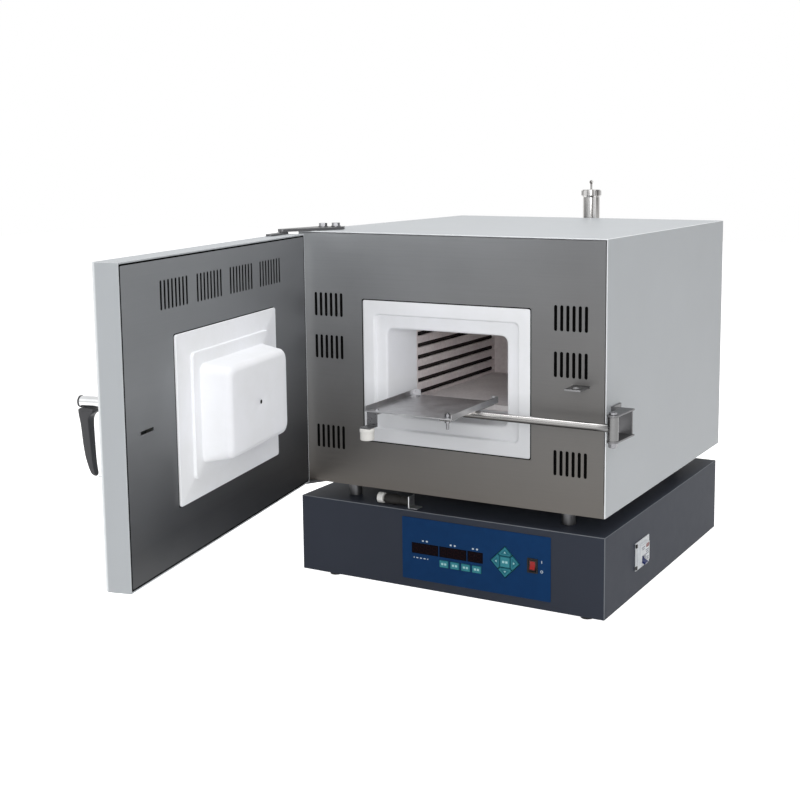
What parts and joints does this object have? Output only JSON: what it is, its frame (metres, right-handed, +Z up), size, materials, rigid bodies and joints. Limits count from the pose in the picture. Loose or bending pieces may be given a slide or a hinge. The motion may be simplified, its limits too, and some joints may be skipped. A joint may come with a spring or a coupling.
{
  "type": "muffle furnace",
  "caption": "Bench muffle furnace on a control box, with a hinged ceramic-plug door, a swing-out loading tray, a coil-heated chamber and a capped flue.",
  "frame": {"origin": "on the floor, in the plane of the feet, under the centre of the furnace casing", "axes": "+X towards the tray's hinge side, -Y towards the front, +Z up"},
  "size_m": [0.652, 1.3287, 0.7262],
  "materials": {
    "light_grey_paint": "satin",
    "brushed_stainless": "brushed",
    "zinc_sheet": "satin",
    "white_ceramic": "matt",
    "refractory_brick": "matt",
    "hearth_ceramic": "matt",
    "fibre_board": "matt fibre",
    "heating_wire": "oxidised",
    "flue_stainless": "satin",
    "bare_steel": "satin",
    "fasteners": "plated",
    "polished_stainless": "polished",
    "knob_ceramic": "glazed",
    "chrome_trim": "mirror",
    "dark_lever": "satin",
    "dark_blue_grey_paint": "satin",
    "black_rubber": "matt",
    "blue_overlay": "matt film",
    "dark_window": "tinted",
    "teal_key": "matt film",
    "black_plastic": "matt",
    "red_rocker": "glossy",
    "white_plastic": "satin",
    "blue_toggle": "satin",
    "core_laminations": "lacquered",
    "heat_sink": "extruded",
    "circuit_board": "lacquered",
    "gland_plastic": "matt",
    "switch_body": "matt"
  },
  "bodies": {
    "casing": {"outer_shell": "light_grey_paint", "base_plate": "zinc_sheet", "front_panel": "brushed_stainless", "rear_cover": "light_grey_paint", "throat_collar": "white_ceramic", "muffle_lining": "refractory_brick", "coil_left": "heating_wire", "coil_right": "heating_wire", "hearth_plate": "hearth_ceramic", "insulation_boards": "fibre_board", "support_rails": "zinc_sheet", "thermocouple": "flue_stainless", "exhaust_pipe": "flue_stainless", "spacers": "bare_steel", "catch_tongue": "bare_steel", "top_strap": "bare_steel", "bottom_strap": "bare_steel", "frame_bolts": "fasteners", "arm_bracket": "bare_steel", "arm_pin": "fasteners", "controller_case": "dark_blue_grey_paint", "controller_base": "zinc_sheet", "rubber_feet": "black_rubber", "overlay_panel": "blue_overlay", "display_windows": "dark_window", "rocker_bezel": "black_plastic", "breaker_body": "white_plastic", "transformer": "core_laminations", "power_unit": "heat_sink", "control_board": "circuit_board", "cable_gland": "gland_plastic", "door_switch": "switch_body"},
    "door": {"door_shell": "light_grey_paint", "door_panel": "brushed_stainless", "door_insulation": "fibre_board", "door_plug": "white_ceramic", "door_pins": "bare_steel", "latch_guide": "bare_steel", "handle_rosette": "chrome_trim"},
    "handle": {"handle_hub": "chrome_trim", "handle_lever": "dark_lever"},
    "latch": {"latch_bolt": "bare_steel"},
    "tray": {"tray_arm": "polished_stainless", "tray": "polished_stainless", "tray_bolts": "fasteners", "knob_strap": "polished_stainless", "tray_knob": "knob_ceramic"},
    "lid": {"exhaust_lid": "flue_stainless"},
    "rocker": {"power_rocker": "red_rocker"},
    "toggle": {"breaker_toggle": "blue_toggle"},
    "plunger": {"switch_head": "knob_ceramic"},
    "key_1_cap": {"key_1": "teal_key"},
    "key_2_cap": {"key_2": "teal_key"},
    "key_3_cap": {"key_3": "teal_key"},
    "key_4_cap": {"key_4": "teal_key"},
    "pad_up_cap": {"pad_up": "teal_key"},
    "pad_down_cap": {"pad_down": "teal_key"},
    "pad_left_cap": {"pad_left": "teal_key"},
    "pad_right_cap": {"pad_right": "teal_key"},
    "pad_centre_cap": {"pad_centre": "teal_key"}
  },
  "joints": [
    {"name": "door_swing", "type": "hinge", "parent": "casing", "child": "door", "pos_m": [-0.304, -0.358, 0.415], "axis": [0, 0, 1], "range_deg": [0, 77.8]},
    {"name": "tray_arm_swing", "type": "hinge", "parent": "casing", "child": "tray", "pos_m": [0.327, -0.353, 0.349], "axis": [0, 0, 1], "range_deg": [0, 180]},
    {"name": "handle_turn", "type": "hinge", "parent": "door", "child": "handle", "pos_m": [-0.19291, -0.89546, 0.4395], "axis": [0.9774, 0.2113, 0], "range_deg": [0, 60]},
    {"name": "latch_slide", "type": "slide", "parent": "door", "child": "latch", "axis": [0, 0, -1], "range_m": [0, 0.012]},
    {"name": "lid_lift", "type": "slide", "parent": "casing", "child": "lid", "axis": [0, 0, 1], "range_m": [0, 0.03]},
    {"name": "rocker_tip", "type": "hinge", "parent": "casing", "child": "rocker", "pos_m": [0.1715, -0.319, 0.0905], "axis": [1, 0, 0], "range_deg": [0, 20]},
    {"name": "toggle_flip", "type": "hinge", "parent": "casing", "child": "toggle", "pos_m": [0.301, -0.149, 0.073], "axis": [0, -1, 0], "range_deg": [0, 50]},
    {"name": "plunger_press", "type": "slide", "parent": "casing", "child": "plunger", "axis": [1, 0, 0], "range_m": [0, 0.002], "stiffness_N_per_m": 400},
    {"name": "key_1_press", "type": "slide", "parent": "casing", "child": "key_1_cap", "axis": [0, 1, 0], "range_m": [0, 0.0005], "stiffness_N_per_m": 500},
    {"name": "key_2_press", "type": "slide", "parent": "casing", "child": "key_2_cap", "axis": [0, 1, 0], "range_m": [0, 0.0005], "stiffness_N_per_m": 500},
    {"name": "key_3_press", "type": "slide", "parent": "casing", "child": "key_3_cap", "axis": [0, 1, 0], "range_m": [0, 0.0005], "stiffness_N_per_m": 500},
    {"name": "key_4_press", "type": "slide", "parent": "casing", "child": "key_4_cap", "axis": [0, 1, 0], "range_m": [0, 0.0005], "stiffness_N_per_m": 500},
    {"name": "pad_up_press", "type": "slide", "parent": "casing", "child": "pad_up_cap", "axis": [0, 1, 0], "range_m": [0, 0.0005], "stiffness_N_per_m": 500},
    {"name": "pad_down_press", "type": "slide", "parent": "casing", "child": "pad_down_cap", "axis": [0, 1, 0], "range_m": [0, 0.0005], "stiffness_N_per_m": 500},
    {"name": "pad_left_press", "type": "slide", "parent": "casing", "child": "pad_left_cap", "axis": [0, 1, 0], "range_m": [0, 0.0005], "stiffness_N_per_m": 500},
    {"name": "pad_right_press", "type": "slide", "parent": "casing", "child": "pad_right_cap", "axis": [0, 1, 0], "range_m": [0, 0.0005], "stiffness_N_per_m": 500},
    {"name": "pad_centre_press", "type": "slide", "parent": "casing", "child": "pad_centre_cap", "axis": [0, 1, 0], "range_m": [0, 0.0005], "stiffness_N_per_m": 500}
  ],
  "couplings": [
    {"joint": "tray_arm_swing", "follows": "door_swing", "ratio": 2.3136},
    {"joint": "latch_slide", "follows": "handle_turn", "m_per_rad": 0.011459}
  ]
}
